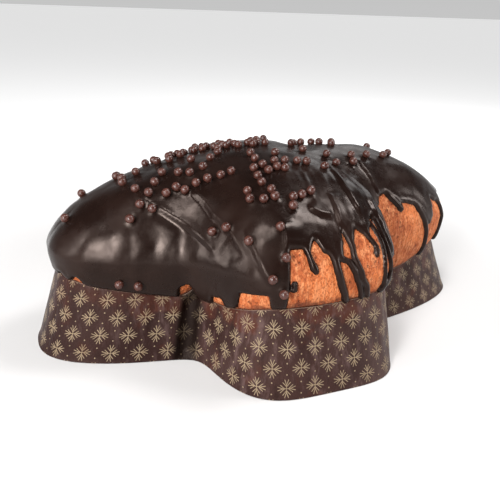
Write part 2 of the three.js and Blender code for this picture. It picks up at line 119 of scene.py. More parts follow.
# ---- measures of the chocolate
GLAZE = 2.2
EDGE_ROUND = 2.4  # the sheet rounds up from its edge over this distance
BEAD, BEAD_AT, BEAD_SPREAD = 0.28, 3.2, 1.8  # the bead that stands behind the edge
COLLAR, COLLAR_FROM, COLLAR_SPREAD = 0.55, 1.7, 1.1  # the chocolate drawn up round a pearl
DRIP_REACH = 14  # a drip shapes the edge no further away than this
DRIP_FILLET = 1.1
DROP_SWELL, DROP_FROM = 0.35, 0.7  # the drop that a drip ends in, and the share of its way where that begins
DROP_ABOVE = 1.7  # drips that reach this level run on to the rim without a drop
FOLD_FACE = (-1.6, 1.2)  # the step rises over this distance across its edge
LIP, LIP_AT, LIP_SPREAD = 0.3, 0.9, 1.3  # the rounded lip of a fold, as a share of the step
FOLD_ENDS = (0, 0.18, 0.8, 1)  # shares of the way between which a fold rises and sinks again
POUR_EDGE = [  # angle in degrees, level that the poured glaze reaches
    (0, 0.8), (20, 0.95), (38, 1.5), (62, 1.3), (85, 0.85), (108, 1.2), (138, 1.5), (160, 1.7), (176, 1.84),
    (184.5, 1.84), (186.5, 1.52), (188.5, 1.84), (190.5, 1.5), (192.5, 1.84), (211, 1.86), (213.3, 1.5), (216, 1.5),
    (218.5, 1.84), (225, 1.84), (227.3, 1.5), (231, 1.5), (233, 1.84), (237, 1.8), (239.5, 1.24), (247.8, 1.22),
    (249, 1.8), (253.4, 1.84), (254.3, 0.72), (258.6, 0.72), (260.8, 0.74), (263.2, 0.68), (266.5, 0.76),
    (270.2, 0.82), (272.8, 0.8), (274.2, 0.72), (275, 0.64), (275.9, 0.71), (276.9, 0.77), (278.6, 0.7),
    (281.2, 0.64), (283.5, 0.665), (285.5, 0.7), (287.3, 0.66), (289, 0.615), (291.5, 0.6), (292.6, 0.64),
    (294, 0.72), (297, 0.9), (300, 1.0), (318, 1.0), (323, 0.8), (326.5, 0.71), (331.5, 0.63), (334, 0.62),
    (335.4, 0.68), (336.8, 0.74), (338.2, 0.72), (339.6, 0.735), (341.2, 0.76), (342.5, 0.83), (343.6, 0.95),
    (345, 1.0), (346.4, 0.93), (347.5, 0.84), (348.8, 0.76), (350.2, 0.8), (352, 0.84), (354.3, 0.76), (357, 0.8),
    (360, 0.8),
]
DRIPS = [  # width, then angle and level of the places it runs through
    (3.4, (259, 0.68), (260.2, 0.74), (261.2, 0.8), (262.5, 0.87)),
    (3.2, (255.5, 0.95), (255.3, 1.03)),
    (4.4, (268.3, 0.7), (269.8, 0.8), (270.3, 0.87), (271.3, 0.98), (273.2, 1.4), (274.2, 1.84)),
    (3.3, (270.6, 0.72), (272, 0.8), (274.8, 0.83), (276.5, 0.91), (278, 1.08), (279.4, 1.5), (280, 1.84)),
    (3.6, (278.6, 0.62), (277.4, 0.72), (277, 0.8), (278.8, 0.92), (281.2, 1.25), (282.4, 1.84)),
    (2.9, (283.8, 0.64), (285.5, 0.71), (286.8, 0.76), (286, 0.82)),
    (2.6, (288.6, 0.6), (289.8, 0.7), (290, 0.77), (288.6, 0.93), (289, 1.3), (289.6, 1.84)),
    (3.2, (292.2, 0.62), (292.4, 0.83), (292.5, 1.02), (291.2, 1.3)),
    (5.5, (291.8, 1.3), (289.5, 1.5), (288.5, 1.7)),
    (3.8, (335.2, 0.64), (336.8, 0.77)),
    (4, (342.6, 0.8), (343.6, 0.93), (344.6, 1.1), (345.2, 1.33), (345.4, 1.55), (345, 1.75)),
    (3.6, (351.6, 0.78), (351.8, 1.0), (351.2, 1.3), (350.6, 1.55)),
    (4, (358, 0.68), (359, 0.86), (359.5, 1.1)),
    (4.4, (8, 0.78), (8, 1.1), (7, 1.5)),
    (4, (16, 0.85), (15.5, 1.1), (15, 1.3)),
    (4.4, (66, 1.1), (65, 1.5)),
    (3.8, (76, 0.85), (75.5, 1.05), (75, 1.3)),
    (4.2, (84, 0.75), (84.5, 1.1), (84, 1.5)),
    (3.6, (93, 0.8), (93.6, 1.0), (94, 1.2)),
    (4.4, (101, 0.95), (101.6, 1.2), (102, 1.5)),
]
FOLDS = [  # height of the step, breadth of the run behind it, then angle and level of the places along its edge
    (1.5, 9, (191, 0.5), (195, 0.54), (198.8, 0.57), (202.8, 0.6), (208.5, 0.65), (215, 0.71), (222.8, 0.77),
     (230, 0.83)),
    (1.7, 7, (204, 0.45), (210.2, 0.51), (216.5, 0.56), (223.2, 0.62), (227.8, 0.64), (233, 0.67), (236.5, 0.72),
     (242, 0.8)),
    (1.1, 7, (237.5, 0.61), (240.3, 0.69), (243, 0.74), (244.8, 0.8), (246.5, 0.87), (249, 0.96)),
    (0.9, 6, (252, 0.56), (252.4, 0.66), (253, 0.74)),
    (1.0, 6, (263.2, 0.5), (268.2, 0.55), (274.2, 0.57)),
    (0.9, 5, (278, 0.42), (276.8, 0.49), (275.3, 0.57), (274.8, 0.63)),
    (1.1, 7, (315.8, 0.25), (295.8, 0.31), (289, 0.41), (286.2, 0.51), (285, 0.6)),
    (1.2, 8, (330.2, 0.37), (305, 0.48), (294.8, 0.55), (292.2, 0.64), (292, 0.7)),
    (1.1, 7, (345, 0.32), (338, 0.4), (331, 0.55), (329.2, 0.68)),
    (1.4, 9, (40, 0.3), (52, 0.55), (62, 0.8)),
    (1.3, 9, (95, 0.3), (108, 0.6), (118, 0.9)),
    (1.3, 9, (150, 0.4), (140, 0.6), (136, 0.85)),
]
TAIL_DENTS = [  # x of the dents down the front side of the tail, half their width and their depth
    (-113, 4.5, 0.35), (-98, 3.2, 0.22), (-87, 6.0, 0.6), (-72, 4.0, 0.22), (-130, 5.0, 0.4),
]

# ---- measures of the pearls
PEARL_RADIUS = 2.6
PEARL_SUNK = 0.7  # how deep it lies in the chocolate
PEARL_TOUCHING = 0.4  # share of the strewn ones that lie against another
PEARL_NEXT, PEARL_CLEAR = 1.04, 1.15  # distance to that one, and at least to the laid ones, in pearl widths
PEARL_GATHERED = 0.6  # power of the draw of how far out: less puts more of them near an oval's rim
PEARL_SEED = 87109
PEARL_TRIES = 5000
PEARL_FIELDS = [  # x, y and half-sizes of the ovals strewn with pearls, and how many
    (-70, 22, 40, 16, 11), (-18, 18, 40, 16, 15), (46, 16, 44, 16, 13), (-10, 60, 34, 20, 8), (30, 84, 14, 8, 3),
]
LAID_PEARLS = [  # angle and level of those laid one by one
    (173, 0.34), (175, 0.3), (186, 0.25), (193, 0.22), (184, 0.16), (200, 0.31), (199, 0.36), (195, 0.36),
    (190, 0.37), (179, 0.41), (184, 0.47), (175, 0.48), (179.5, 0.46), (193.5, 0.44), (191.5, 0.49), (196, 0.51),
    (200, 0.5), (201, 0.46), (205, 0.48), (207, 0.44), (210, 0.41), (215, 0.38), (219, 0.34), (196.5, 0.57),
    (200, 0.59), (197, 0.65), (226, 0.7), (233, 0.66), (242, 0.7), (251, 0.61), (252.5, 0.77), (249, 0.9),
    (252, 1.06), (198.8, 1.4), (202.6, 1.4), (237, 0.44), (239.3, 0.48), (243, 0.37), (248, 0.41), (249.5, 0.45),
    (245, 0.47), (257.5, 0.45), (262, 0.44), (256.5, 0.5), (268, 0.42), (235, 0.28), (246, 0.28), (251, 0.2),
    (252.5, 0.25), (262, 0.2), (258.5, 0.26), (215, 0.15), (255, 0.12), (275, 0.21), (284, 0.22), (335, 0.24),
    (293, 0.28), (324, 0.33), (338, 0.35), (350, 0.34), (354, 0.4), (358, 0.43), (183, 0.73), (173, 0.64),
    (241, 0.24), (240, 0.33), (230, 0.2), (334, 0.14), (345, 0.3), (80, 0.82), (120, 0.95), (60, 0.7),
]


# ---- form of the case and of the dough
def spoke(angle, radius):
    """The point of the plan in that direction, at that distance."""
    return np.stack([np.cos(angle), np.sin(angle)], -1) * radius[..., None]


def super_radius(angle, a, b, power):
    """Superellipse seen from its middle."""
    return ((abs(np.cos(angle)) / a) ** power + (abs(np.sin(angle)) / b) ** power) ** (-1 / power)


def body_radius(angle, share):
    towards_head = (1 + np.cos(angle)) / 2
    between = lambda tail, head: tail + (head - tail) * towards_head
    return super_radius(
        angle,
        LENGTH / 2 - share * between(TAIL_LEAN, HEAD_LEAN),
        between(TAIL_HALF_WIDTH, HEAD_HALF_WIDTH) - share * BODY_SIDE_LEAN,
        between(TAIL_SQUARENESS, HEAD_SQUARENESS),
    )


def wings_radius(angle, share):
    towards_head = (1 + np.cos(angle)) / 2
    reach = WING_TAIL_SIDE + (WING_HEAD_SIDE - WING_TAIL_SIDE) * towards_head
    return super_radius(angle, reach - share * WING_SIDE_LEAN, WING_SPAN / 2 - share * WING_LEAN, WING_SQUARENESS)


def cross_radius(angle, share, tightness=CORNER_TIGHTNESS):
    """The body and the wings in one outline; the corners between them are rounder with less tightness."""
    return (body_radius(angle, share) ** tightness + wings_radius(angle, share) ** tightness) ** (1 / tightness)


def by_lobe(angle, tail, head, front_wing, back_wing):
    """A value for each lobe, eased from one to the next."""
    ends = (tail + head) / 2 + (head - tail) / 2 * np.cos(angle)
    wings = (front_wing + back_wing) / 2 + (back_wing - front_wing) / 2 * np.sin(angle)
    return ends * np.cos(angle) ** 2 + wings * np.sin(angle) ** 2


def from_head_line(angle):
    """Degrees between a direction and the head's, the shorter way."""
    return np.degrees(abs(np.arctan2(np.sin(angle), np.cos(angle))))


def rim_height(angle):
    from_head = from_head_line(angle)
    away = {"head": from_head, "tail": 180 - from_head}
    dips = [
        depth * np.exp(-(abs(away[end] - place) / spread) ** power) for depth, end, place, spread, power in RIM_DIPS
    ]
    ripple = np.sin(5 * angle + 0.8) * 0.6 + np.sin(9 * angle) * 0.4 - 1
    return CASE_HEIGHT - sum(dips) + RIM_RIPPLE * ripple


def plan(angle, share, outwards):
    """A point of the wall's plan, moved square to the outline."""
    on = lambda a: spoke(a, cross_radius(a, share))
    along = on(angle + 0.01) - on(angle - 0.01)
    along /= norm(along, axis=-1, keepdims=True)
    square = np.stack([along[..., 1], -along[..., 0]], -1)
    return on(angle) + square * np.asarray(outwards)[..., None]


def raised(flat, height):
    return np.concatenate([flat, height[..., None]], -1)


def wall_point(angle, share, outwards, height):
    return raised(plan(angle, share, outwards), height)


def skin(angle, level):
    """Points of the dough's skin above the rim."""
    angle, level = np.broadcast_arrays(np.asarray(angle, float), np.asarray(level, float))
    outwards = by_lobe(angle, TAIL_SWELL, HEAD_SWELL, FRONT_WING_SWELL, BACK_WING_SWELL) - ROOM
    corner = np.exp(-(((180 - from_head_line(angle) - CORNER_AT) / CORNER_SPREAD) ** 4))[..., None]
    rounder = spoke(angle, cross_radius(angle, 1.0, CORNER_ROUNDNESS) + outwards)
    widest = plan(angle, 1.0, outwards) * (1 - corner) + rounder * corner

    # from the rim round to the widest line
    turn = np.clip(2 - level, 0, 1) * math.pi / 2
    foot = rim_height(angle) + FOOT_GAP
    side = plan(angle, 1.0, -ROOM)
    side = side + (widest - side) * np.sin(turn)[..., None]
    side = raised(side, foot + (SHOULDER - foot) * (1 - np.cos(turn)))

    # from the widest line over the dome, where the valleys between the lobes fill up
    outward = widest / norm(widest, axis=-1, keepdims=True)
    filled = outward * cross_radius(angle, 1.0, VALLEY_FILL)[..., None]
    turn = np.clip(level, 0, 1) * math.pi / 2
    flat = (widest + (filled - widest) * (np.cos(turn) ** FILL_FROM)[..., None]) * np.sin(turn)[..., None]
    steepness = by_lobe(angle, TAIL_STEEPNESS, HEAD_STEEPNESS, WING_STEEPNESS, WING_STEEPNESS)
    lump = sum(
        height * np.exp(-((flat[..., 0] - x) ** 2 + (flat[..., 1] - y) ** 2) / (2 * (reach / 2) ** 2))
        for x, y, reach, height in LUMPS
    )
    rise = SHOULDER + (CROWN_HEIGHT - SHOULDER) * np.cos(turn) ** steepness + lump * np.cos(turn)
    return np.where((level > 1)[..., None], side, raised(flat, rise))


def skin_normal(angle, level):
    """Directions square to the skin, and straight up close to the crown."""
    step, by_crown = 0.01, 0.03
    angle, level = np.broadcast_arrays(np.asarray(angle, float), np.asarray(level, float))
    round_it = skin(angle + step, level) - skin(angle - step, level)
    down = skin(angle, np.minimum(2, level + step)) - skin(angle, np.maximum(level - step, 0.001))
    square = np.cross(down, round_it)
    square /= np.maximum(norm(square, axis=-1, keepdims=True), 1e-9)
    return np.where((level < by_crown)[..., None], np.array([0.0, 0.0, 1.0]), square)


FINE_ANGLES = np.linspace(0, TURN, 7201)


def reached(steps):
    """How far along a line each of its points lies."""
    return np.concatenate([[0], np.cumsum(steps)])


def outline_steps():
    """Lengths of fine steps along the base outline."""
    return norm(np.diff(plan(FINE_ANGLES, 0.0, 0.0), axis=0), axis=1)


def even_angles(count, closeness=None):
    """Angles at even steps along the base outline, or closer where the given function is greater."""
    steps = outline_steps()
    if closeness is not None:
        steps = steps * closeness((FINE_ANGLES[1:] + FINE_ANGLES[:-1]) / 2)
    along = reached(steps)
    return np.interp(np.arange(count) / count * along[-1], along, FINE_ANGLES)


# ---- chocolate: where it has run
def smoothstep(x, low, high):
    t = np.clip((x - low) / (high - low), 0, 1)
    return t * t * (3 - 2 * t)


def window(x, rise, full, fall, gone):
    """Eases from 0 to 1 between the first two places and back to 0 between the last two."""
    return smoothstep(x, rise, full) * (1 - smoothstep(x, fall, gone))


def pour_level(angle):
    degrees = np.degrees(angle) % 360
    reached = np.zeros_like(degrees)
    for (a0, l0), (a1, l1) in zip(POUR_EDGE, POUR_EDGE[1:]):
        here = (degrees >= a0) & (degrees <= a1)
        reached = np.where(here, l0 + (l1 - l0) * smoothstep(degrees, a0, a1), reached)
    return reached


def run_places(places, spacing=0.25):
    """Close points along a run over the skin, with the share of the way at each."""
    degrees, levels = np.array(places, float).T
    knots = np.linspace(0, 1, len(places))
    at = lambda share: skin(np.radians(np.interp(share, knots, degrees)), np.interp(share, knots, levels))
    share = np.linspace(0, 1, 60 * len(places))
    along = reached(norm(np.diff(at(share), axis=0), axis=1))
    share = np.interp(np.arange(0, along[-1], spacing), along, share)
    return at(share), share


def near_line(points, line, margin):
    """Which points lie in the ball round a line, or within that margin of it."""
    middle = line.mean(0)
    reach = norm(line - middle, axis=1).max() + margin
    return norm(points - middle, axis=-1) < reach


def distance_to(points, line):
    """Distance from each point to the nearest point of a line, and which that is."""
    if not points.size:
        return np.zeros(points.shape[:-1]), np.zeros(points.shape[:-1], int)
    tree = kdtree.KDTree(len(line))
    for i, p in enumerate(line):
        tree.insert(p, i)
    tree.balance()
    found = [tree.find(p)[1:] for p in points.reshape(-1, 3)]
    which, far = zip(*found)
    return np.array(far).reshape(points.shape[:-1]), np.array(which).reshape(points.shape[:-1])


def blended_most(a, b, reach):
    """The greater of two, with a fillet where they meet."""
    t = np.clip(0.5 + 0.5 * (a - b) / reach, 0, 1)
    return b + (a - b) * t + reach * t * (1 - t)


def inside_glaze(angle, level, points):
    """Signed distance to the edge of the chocolate, in millimetres, positive where it lies."""
    around = np.radians(np.arange(0, 360, 0.02))
    line = skin(around, pour_level(around))
    edge = [line]
    gaps = norm(np.diff(line, axis=0), axis=1)
    for i in np.nonzero(gaps > 0.3)[0]:  # close the steep runs of the edge
        edge.append(line[i] + (line[i + 1] - line[i]) * np.linspace(0, 1, int(gaps[i] / 0.2) + 2)[1:-1, None])
    far, _ = distance_to(points, np.concatenate(edge))
    inside = np.where(level < pour_level(angle), far, -far)
    for width, *places in DRIPS:
        line, share = run_places(places)
        near = near_line(points, line, DRIP_REACH)
        far, which = distance_to(points[near], line)
        swell = DROP_SWELL if places[-1][1] < DROP_ABOVE else 0
        drop = 1 + swell * np.sin(np.clip((share - DROP_FROM) / (1 - DROP_FROM), 0, 1) * math.pi)
        inside[near] = blended_most(inside[near], width / 2 * drop[which] - far, DRIP_FILLET)
    return inside


def drawer(seed):
    """A repeatable draw between 0 and 1."""
    state = seed
    while True:
        state = state * 16807 % 2147483647
        yield state / 2147483647


def level_at(angle, radius):
    """Level of the skin at that distance from the axis, found by halving."""
    low, high = 0.0, 1.0
    for _ in range(30):
        middle = (low + high) / 2
        if math.hypot(*skin(angle, middle)[:2]) < radius:
            low = middle
        else:
            high = middle
    return low


def pearl_places():
    """Angle and level of every pearl: the strewn ones, then the laid ones."""
    draws = drawer(PEARL_SEED)
    apart = 2 * PEARL_RADIUS
    laid = [(math.radians(angle), level) for angle, level in LAID_PEARLS]
    taken = [skin(angle, level) for angle, level in laid]
    strewn = []
    for cx, cy, rx, ry, count in PEARL_FIELDS:
        first = len(strewn)
        tries = 0
        while len(strewn) < first + count and tries < PEARL_TRIES:
            tries += 1
            turn = next(draws) * TURN
            out = next(draws) ** PEARL_GATHERED
            x, y = cx + rx * out * math.cos(turn), cy + ry * out * math.sin(turn)
            if len(strewn) > first + 3 and next(draws) < PEARL_TOUCHING:
                bx, by = strewn[first + math.floor(next(draws) * (len(strewn) - first))]
                x, y = bx + apart * PEARL_NEXT * math.cos(turn), by + apart * PEARL_NEXT * math.sin(turn)
            in_field = ((x - cx) / rx) ** 2 + ((y - cy) / ry) ** 2 < 1
            clear = all(math.hypot(p[0] - x, p[1] - y) > apart * PEARL_CLEAR for p in taken)
            if clear and in_field and all(math.hypot(px - x, py - y) > apart for px, py in strewn):
                strewn.append((x, y))
    return np.array([(math.atan2(y, x), level_at(math.atan2(y, x), math.hypot(x, y))) for x, y in strewn] + laid)


def fold_height(points):
    """Height of the runs that set as folds: a rounded step on the lower side, easing off behind."""
    most = np.zeros(points.shape[:-1])
    for height, breadth, *places in FOLDS:
        line, share = run_places(places, 0.5)
        along = np.gradient(line, axis=0)
        near = near_line(points, line, breadth * 2.5)
        far, which = distance_to(points[near], line)
        offset = points[near] - line[which]
        side = along[which][..., 0] * offset[..., 1] - along[which][..., 1] * offset[..., 0]
        behind = np.where(side > 0, far, -far)
        step = smoothstep(behind, *FOLD_FACE) * np.exp(-(np.maximum(behind - FOLD_FACE[1], 0) / breadth) ** 2)
        step = step + LIP * np.exp(-(((behind - LIP_AT) / LIP_SPREAD) ** 2))
        most[near] = np.maximum(most[near], height * step * window(share[which], *FOLD_ENDS))
    return most


def flow_height(points):
    """Fine ridges that the chocolate left as it ran down the front wing and the side of the tail, and dents there."""
    x, y, z = points[..., 0], points[..., 1], points[..., 2]
    flat = np.zeros_like(x)
    on_wing = smoothstep(-y, 26, 44) * window(x, -14, 4, 58, 72) * smoothstep(z, 70, 84)
    drawn_out = np.stack([x + 2.4 * np.sin(y / 16), y / 9, flat], -1)
    wing = on_wing * (0.5 * abs(grain(drawn_out, 5.5, 2, 21)) + 0.28 * grain(drawn_out, 2.6, 1, 22))
    on_tail = smoothstep(-x, 40, 60) * (1 - smoothstep(z, 66, 82))
    drawn_out = np.stack([np.arctan2(y, x) * 80, z / 4.5, flat], -1)
    tail = on_tail * (0.35 * grain(drawn_out, 9.0, 2, 31) + 0.12 * grain(drawn_out, 3.5, 1, 32))
    slanted = x - 0.15 * (z - 62)
    dents = sum(depth * np.exp(-(((slanted - place) / half_width) ** 2)) for place, half_width, depth in TAIL_DENTS)
    return wing + tail - dents * (y < 0) * window(z, 44, 54, 76, 92)


def grain(points, size, octaves, seed):
    """Smooth noise over points, about -1 to 1, with lumps of that size."""
    shift = Vector((seed * 17.3, seed * 5.1, seed * 9.7))
    flat = points.reshape(-1, 3) / size
    values = [noise.fractal(Vector(p) + shift, 1.0, 2.0, octaves) for p in flat]
    return np.array(values).reshape(points.shape[:-1])


# ---- meshes
def make_piece(name, points, faces):
    mesh = bpy.data.meshes.new(name)
    mesh.from_pydata((points * MM).tolist(), [], faces)
    mesh.validate()
    mesh.shade_smooth()
    piece = bpy.data.objects.new(name, mesh)
    bpy.context.scene.collection.objects.link(piece)
    return piece


def make_ringed_piece(name, rows, first, last):
    """A closed piece from rings of points, shut by one point before the first ring and one after the last."""
    count, columns = rows.shape[:2]
    end = count * columns
    k = np.arange(columns)
    after = (k + 1) % columns
    low = np.arange(0, end - columns, columns)[:, None]
    high = low + columns
    faces = np.stack([low + k, low + after, high + after, high + k], -1).reshape(-1, 4).tolist()
    faces += np.stack([after, k, np.full(columns, end)], -1).tolist()
    faces += np.stack([end - columns + k, end - columns + after, np.full(columns, end + 1)], -1).tolist()
    return make_piece(name, np.concatenate([rows.reshape(-1, 3), [first, last]]), faces)


def add_values(piece, name, values):
    piece.data.attributes.new(name, "FLOAT", "POINT").data.foreach_set("value", values)


def whole_numbers(items, name):
    """One whole number for each corner or face of a mesh."""
    values = np.empty(len(items), np.int32)
    items.foreach_get(name, values)
    return values


# ---- the paper case
CASE_COLUMNS = 900
CASE_SHARES = [0.0, *np.linspace(0.012, 1, 34)]
SEAM_ANGLE = 118  # degrees, where the strip of the wall is glued
BASE_INSET = 2.2  # the flat base begins this far inside the outline
BASE_LIFT = 0.35  # the lower edge rounds up by this
FAR_OFF = 60  # stands for a place away from the rim and the corners


def outline_lengths(angles):
    """Places along the base outline in millimetres, and its whole length."""
    along = reached(outline_steps())
    return np.interp(angles % TURN, FINE_ANGLES, along), along[-1]


def wall_place(degrees):
    return outline_lengths(np.radians(degrees))[0]


def away_from(angle, place):
    """Distance along the wall from a place on it, the shorter way round."""
    here, whole = outline_lengths(angle)
    return abs((here - place + whole / 2) % whole - whole / 2)


def from_channel(angle):
    """Distance along the wall to the nearest of the channels in the four corners between the lobes."""
    fine = np.linspace(0, TURN, 3601)
    corners = fine[np.nonzero(np.diff(np.sign(body_radius(fine, 0.0) - wings_radius(fine, 0.0))))[0]]
    shift = lambda corner: CHANNEL_SHIFT * np.sign(math.sin(corner)) if math.cos(corner) < 0 else 0
    places = [outline_lengths(corner)[0] + shift(corner) for corner in corners]
    return np.min([away_from(angle, place) for place in places], axis=0)


def crumple(angle, share, points):
    """How far the paper is pressed in, in millimetres."""
    here, _ = outline_lengths(angle)
    pressed = 0.45 + 0.4 * grain(points * [1, 1, 0.6], 28, 2, 3)
    for place, width, depth, low, high in CREASES:
        part = window(share, low, low + CREASE_FADE, high - CREASE_FADE, high)
        pressed = pressed + depth * part * np.exp(-away_from(angle, wall_place(place)) / width)
    channel = np.clip(1 - (from_channel(angle) / CHANNEL_HALF_WIDTH) ** 2, 0, 1) ** 1.5
    channel = channel * CHANNEL_DEPTH * (1 - smoothstep(share, 0.8, 1.0))
    loose = window(here, *map(wall_place, LOOSE_PART))
    wrinkles = grain(points * [1, 1, 0.3], 9, 2, 4)
    pressed = pressed + wrinkles * (0.2 + 0.75 * loose * smoothstep(share, 0.0, 0.3))
    flare = FLARE * smoothstep(share, 0.3, 1.0) * np.exp(-((np.degrees(angle) % 360 - FLARE_AT) / FLARE_SPREAD) ** 2)
    return (np.clip(pressed, 0, MOST_PRESSED) + channel) * smoothstep(share, -0.02, 0.12) - flare


def lay_print(piece, rows, angles, turned):
    """The printed sheet: places along the wall and up it, in metres, and flat under the base."""
    mesh = piece.data
    along, whole = outline_lengths(angles)
    along = (along - wall_place(SEAM_ANGLE)) % whole
    along[0] = 0
    up = norm(np.diff(rows, axis=0), axis=-1).cumsum(0)
    up = np.concatenate([np.zeros((1, len(angles))), up]) - BASE_INSET
    up[turned:] = 2 * up[turned - 1] - up[turned:]
    corners = whole_numbers(mesh.loops, "vertex_index")
    starts, totals = (whole_numbers(mesh.polygons, name) for name in ("loop_start", "loop_total"))
    u = np.concatenate([np.tile(along, len(rows)), [0, 0]])[corners]
    v = np.concatenate([up.ravel(), [0, 0]])[corners]
    owner = np.repeat(np.arange(len(totals)), totals)
    greatest = np.maximum.reduceat(u, starts)[owner]
    u = np.where((greatest > whole * 0.9) & (u < whole * 0.1), u + whole, u)
    flat, points = totals[owner] == 3, np.concatenate([rows.reshape(-1, 3), np.zeros((2, 3))])[corners]
    u, v = np.where(flat, points[:, 0], u), np.where(flat, points[:, 1], v)
    sheet = mesh.uv_layers.new(name="sheet")
    sheet.data.foreach_set("uv", np.stack([u, v], -1).astype(np.float32).ravel() * MM)


def make_case():
    angles = (even_angles(CASE_COLUMNS) + math.radians(SEAM_ANGLE)) % TURN
    rim = rim_height(angles)
    level = lambda height: np.full_like(angles, height)
    pressed = lambda share, height: crumple(angles, level(share), wall_point(angles, share, 0.0, height))
    rows = [wall_point(angles, 0.0, -BASE_INSET, level(0)), wall_point(angles, 0.0, -0.5, level(0.02))]
    for share in CASE_SHARES:
        height = rim * share + (BASE_LIFT if share == 0 else 0)
        rows.append(wall_point(angles, share, -pressed(share, height), height))
    turned = len(rows)
    rows.append(wall_point(angles, 1.0, -pressed(1.0, rim) - PAPER * 0.5, rim + 0.12))
    inner = []
    for share in CASE_SHARES[:0:-1]:
        height = rim * share + (0 if share > 0.05 else PAPER)
        inner.append(wall_point(angles, share, -pressed(share, height) - PAPER, height))
    rows += [*inner[::3], inner[-1], wall_point(angles, 0.0, -BASE_INSET, level(PAPER))]
    rows = np.stack(rows)
    piece = make_ringed_piece("case_paper", rows, (0, 0, 0), (0, 0, PAPER))
    lay_print(piece, rows, angles, turned)
    add_values(piece, "below_rim", [*(rim - rows[..., 2]).ravel(), FAR_OFF, FAR_OFF])
    add_values(piece, "from_corner", [*np.tile(from_channel(angles), len(rows)), FAR_OFF, FAR_OFF])
    return piece


# ---- the loaf
LOAF_COLUMNS = 880
LOAF_LEVELS = [*np.linspace(2, 1, 26), *np.linspace(1, 0.5, 44)[1:], *np.linspace(0.5, 0.06, 14)[1:]]
LOAF_BOTTOM = 1.4
PIT_DEPTH = 0.8
DOUGH_INSET, INSET_HALF_WIDTH = 4.5, 14  # the dough keeps clear of the paper's channels


def make_loaf():
    angles = even_angles(LOAF_COLUMNS)
    A, L = np.meshgrid(angles, LOAF_LEVELS)
    points = skin(A, L)
    relief = 0.35 * grain(points * [1, 1, 0.75], 9, 3, 1) + 0.16 * grain(points, 2.2, 2, 2)
    relief = relief - PIT_DEPTH * smoothstep(grain(points, 4.2, 2, 7), 0.55, 0.85) - 0.15
    points = points + skin_normal(A, L) * (relief * smoothstep(2 - L, 0, 0.12))[..., None]
    rim = rim_height(angles)
    channel = np.clip(1 - (from_channel(angles) / INSET_HALF_WIDTH) ** 2, 0, 1) * DOUGH_INSET
    rows = [wall_point(angles, 0.02, -3.4 - channel, np.full_like(angles, LOAF_BOTTOM))]
    rows += [wall_point(angles, share, -3.2 - channel, rim * share) for share in (0.25, 0.5, 0.75, 0.88)]
    rows = np.stack([*rows, wall_point(angles, 0.97, -2.2, rim * 0.97), *points])
    piece = make_ringed_piece("loaf_crust", rows, (0, 0, LOAF_BOTTOM), skin(0.0, 0.0))
    add_values(piece, "above_rim", [*(rows[..., 2] - rim).ravel(), 0, FAR_OFF])
    return piece


# ---- the glaze
GLAZE_COLUMNS = 864
UNDER = 1.1  # the glaze reaches this far into the crust
EDGE_CUT = -0.9  # the sheet ends this far outside its edge, under the crust
GLAZE_BANDS = [  # lowest and highest level, rows of cells, and columns in one cell
    (0.02, 0.14, 7, 8), (0.14, 0.28, 10, 4), (0.28, 0.55, 26, 2), (0.55, 1.0, 34, 1), (1.0, 1.98, 26, 1),
]
CLOSE_PART, CLOSER = (246, 254, 354, 358), 0.9  # degrees between which the columns lie closer


def glaze_height(inside, points, pearls):
    """Height of the chocolate over the dough."""
    rounded = np.sqrt(np.clip(1 - (1 - np.clip(inside / EDGE_ROUND, 0, 1)) ** 2, 0, 1))
    height = GLAZE * 0.82 * rounded + BEAD * np.exp(-(((inside - BEAD_AT) / BEAD_SPREAD) ** 2))
    deep = smoothstep(inside, 3, 12)
    height += deep * (0.18 * GLAZE + 0.45 * grain(points, 24, 2, 5) + 0.16 * grain(points, 9, 2, 6))
    height += fold_height(points) * smoothstep(inside, 0.5, 4) + flow_height(points) * smoothstep(inside, 1, 5)
    for p in pearls:
        away = norm(points - p, axis=-1)
        height += COLLAR * np.exp(-((np.maximum(away - COLLAR_FROM, 0) / COLLAR_SPREAD) ** 2))
    return np.where(inside > 0, height, np.maximum(inside * 1.3, -UNDER + 0.1))


